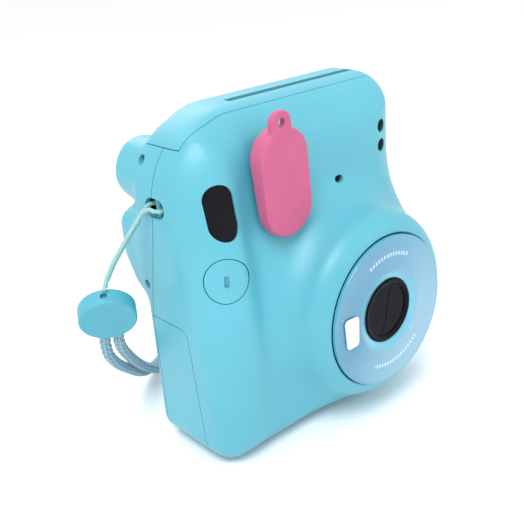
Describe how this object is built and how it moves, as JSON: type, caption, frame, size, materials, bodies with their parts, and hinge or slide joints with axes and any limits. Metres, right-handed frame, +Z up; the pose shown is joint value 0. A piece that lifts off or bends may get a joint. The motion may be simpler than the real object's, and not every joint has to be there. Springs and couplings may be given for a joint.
{
  "type": "instant film camera",
  "caption": "Upright instant film camera with a pop-out lens, film door, ejection rollers, removable flash cap and a wrist strap.",
  "frame": {"origin": "middle of the camera's box at its base", "axes": "+Z up, the lens looks along -Y, +X to the right as seen from the front"},
  "size_m": [0.1353, 0.1092, 0.1212],
  "materials": {
    "body": "satin moulded plastic, sky blue",
    "body_dark": "satin moulded plastic, deeper blue",
    "black_plastic": "matte black moulded plastic",
    "black_gloss": "glossy black",
    "film": "satin white film sheet",
    "steel": "brushed",
    "spring_steel": "plated wire",
    "chrome": "bright",
    "brass": "machined",
    "gear_plastic": "natural moulded acetal",
    "white_plastic": "satin white",
    "clear": "clear moulded window",
    "lens_glass": "polished lens",
    "ring": "pearly periwinkle blue",
    "mirror": "polished mirror",
    "pink_rubber": "matte silicone",
    "black_rubber": "foam rubber",
    "board": "solder mask green",
    "battery": "printed metal can, plain",
    "cord": "fine twisted cord",
    "strap": "braided cord",
    "strap_plastic": "matte moulded disc"
  },
  "bodies": {
    "root": {"front_cover": "body", "rear_cover": "body", "top_cover": "body", "chassis": "black_plastic", "dark_chamber": "black_plastic", "lens_guide": "black_plastic", "film_pack": "black_plastic", "film_sheets": "film", "drive_motor": "steel", "counter_window": "clear", "lens_spring": "spring_steel", "viewfinder_window": "black_gloss", "viewfinder_tunnel": "black_plastic", "viewfinder_lens": "lens_glass", "eyepiece_lens": "lens_glass", "flash_window": "clear", "flash_reflector": "chrome", "flash_tube": "lens_glass", "flash_capacitor": "black_gloss", "meter_windows": "black_gloss", "flash_sensor_window": "black_gloss", "main_board": "board", "batteries": "battery", "battery_contacts": "spring_steel", "button_switches": "black_plastic", "shutter_spring": "spring_steel", "power_spring": "spring_steel", "latch_spring": "spring_steel", "door_pin": "steel", "strap_bar": "body", "cover_screws": "steel", "strap_cord": "cord", "strap_disc": "strap_plastic", "strap_band": "strap"},
    "lens_unit": {"lens_barrel": "black_plastic", "lens_ring": "ring", "lens_rim": "black_gloss", "selfie_mirror": "mirror", "front_lens": "lens_glass", "rear_lens": "lens_glass", "shutter_plate": "black_plastic"},
    "upper_blade": {"cover_blade_upper": "black_gloss"},
    "lower_blade": {"cover_blade_lower": "black_gloss"},
    "shutter": {"shutter_blade": "black_gloss"},
    "door": {"film_door": "body", "door_pads": "black_rubber", "door_window": "clear"},
    "latch": {"door_latch": "body_dark"},
    "battery_door": {"battery_cover": "body"},
    "release_button": {"shutter_button": "body"},
    "power_key": {"power_button": "white_plastic"},
    "flash_cap": {"flash_cover": "pink_rubber"},
    "front_roller": {"roller_front": "steel"},
    "rear_roller": {"roller_rear": "steel"},
    "idler": {"idler_gear": "gear_plastic"},
    "reduction": {"reduction_gear": "gear_plastic"},
    "pinion": {"motor_pinion": "brass"},
    "dial": {"counter_dial": "white_plastic"},
    "flap": {"slot_flap": "black_plastic"},
    "claw": {"film_claw": "steel"}
  },
  "joints": [
    {"name": "lens_slide", "type": "slide", "parent": "root", "child": "lens_unit", "axis": [0, -1, 0], "range_m": [0, 0.019]},
    {"name": "upper_blade_swing", "type": "hinge", "parent": "lens_unit", "child": "upper_blade", "pos_m": [0.02212, -0.031, 0.05585], "axis": [0, -1, 0], "range_deg": [0, 51]},
    {"name": "lower_blade_swing", "type": "hinge", "parent": "lens_unit", "child": "lower_blade", "pos_m": [0.00588, -0.031, 0.02915], "axis": [0, -1, 0], "range_deg": [0, 51]},
    {"name": "shutter_swing", "type": "hinge", "parent": "lens_unit", "child": "shutter", "pos_m": [0.0254, -0.0214, 0.0425], "axis": [0, -1, 0], "range_deg": [0, 40], "stiffness_Nm_per_rad": 0.00002},
    {"name": "door_hinge", "type": "hinge", "parent": "root", "child": "door", "pos_m": [0.0492, 0.0222, 0.056], "axis": [0, 0, -1], "range_deg": [0, 95]},
    {"name": "latch_slide", "type": "slide", "parent": "root", "child": "latch", "axis": [0, 0, -1], "range_m": [0, 0.003], "stiffness_N_per_m": 150, "deforming": ["latch_spring"]},
    {"name": "battery_cover_slide", "type": "slide", "parent": "root", "child": "battery_door", "axis": [0, 0, -1], "range_m": [0, 0.006]},
    {"name": "shutter_press", "type": "slide", "parent": "root", "child": "release_button", "axis": [0.5878, 0.809, 0], "range_m": [0, 0.001], "stiffness_N_per_m": 600},
    {"name": "power_press", "type": "slide", "parent": "root", "child": "power_key", "axis": [-0.9135, 0, -0.4067], "range_m": [0, 0.0006], "stiffness_N_per_m": 500},
    {"name": "flash_cap_pull", "type": "slide", "parent": "root", "child": "flash_cap", "axis": [0, -1, 0], "range_m": [0, 0.025]},
    {"name": "rear_roller_spin", "type": "hinge", "parent": "root", "child": "rear_roller", "pos_m": [0.013, 0.0125, 0.113], "axis": [1, 0, 0], "continuous": true},
    {"name": "front_roller_spin", "type": "hinge", "parent": "root", "child": "front_roller", "pos_m": [0.013, 0.0055, 0.113], "axis": [1, 0, 0], "continuous": true},
    {"name": "idler_spin", "type": "hinge", "parent": "root", "child": "idler", "pos_m": [-0.021, 0.012, 0.10041], "axis": [1, 0, 0], "continuous": true},
    {"name": "reduction_spin", "type": "hinge", "parent": "root", "child": "reduction", "pos_m": [-0.021, 0.012, 0.08221], "axis": [1, 0, 0], "continuous": true},
    {"name": "pinion_spin", "type": "hinge", "parent": "root", "child": "pinion", "pos_m": [-0.021, 0.012, 0.07031], "axis": [1, 0, 0], "continuous": true},
    {"name": "dial_turn", "type": "hinge", "parent": "root", "child": "dial", "pos_m": [-0.012, 0.0185, 0.1144], "axis": [0, 1, 0], "range_deg": [0, 330]},
    {"name": "flap_swing", "type": "hinge", "parent": "root", "child": "flap", "pos_m": [0.0128, 0.0067, 0.1176], "axis": [1, 0, 0], "range_deg": [-20, 0], "stiffness_Nm_per_rad": 0.00002},
    {"name": "claw_slide", "type": "slide", "parent": "root", "child": "claw", "axis": [0, 0, 1], "range_m": [0, 0.006], "stiffness_N_per_m": 20}
  ],
  "couplings": [
    {"joint": "upper_blade_swing", "follows": "lens_slide", "rad_per_m": 45.93},
    {"joint": "lower_blade_swing", "follows": "lens_slide", "rad_per_m": 45.93},
    {"joint": "front_roller_spin", "follows": "rear_roller_spin", "ratio": -1},
    {"joint": "idler_spin", "follows": "rear_roller_spin", "ratio": -0.38462},
    {"joint": "reduction_spin", "follows": "rear_roller_spin", "ratio": 0.38462},
    {"joint": "pinion_spin", "follows": "rear_roller_spin", "ratio": -1.25}
  ]
}
